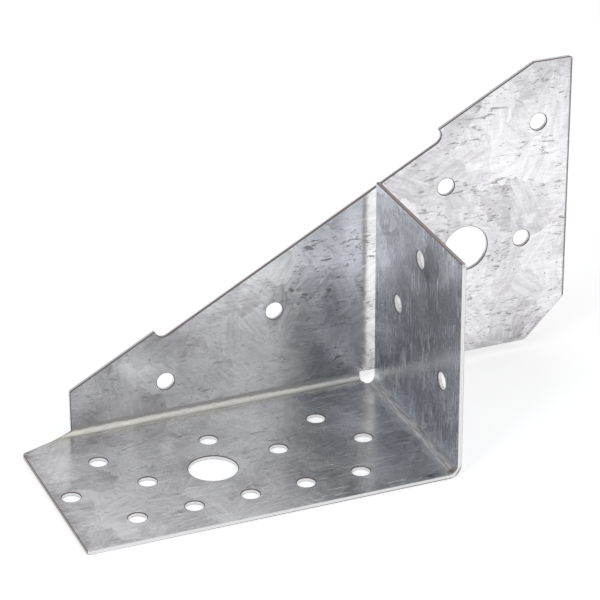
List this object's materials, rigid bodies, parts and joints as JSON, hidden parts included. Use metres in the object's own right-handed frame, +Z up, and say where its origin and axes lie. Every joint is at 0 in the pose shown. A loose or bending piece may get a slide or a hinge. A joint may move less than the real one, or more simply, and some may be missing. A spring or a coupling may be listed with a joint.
{
  "type": "triple grip connector",
  "caption": "One-piece folded galvanised sheet connector with a base leaf, a sloping back leaf and a square side leaf, punched for nails and bolts.",
  "frame": {"origin": "centre of the part's outline seen from above, at the height of the base leaf's underside", "axes": "+X along the rear fold towards the side leaf, +Y from the open front towards the back leaf, +Z up from the base leaf"},
  "size_m": [0.1306, 0.0484, 0.0704],
  "materials": {
    "galvanised_sheet": "hot-dip galvanised, semi-gloss, with faint spangle and handling marks"
  },
  "bodies": {
    "root": {"triple_grip": "galvanised_sheet"}
  },
  "joints": []
}
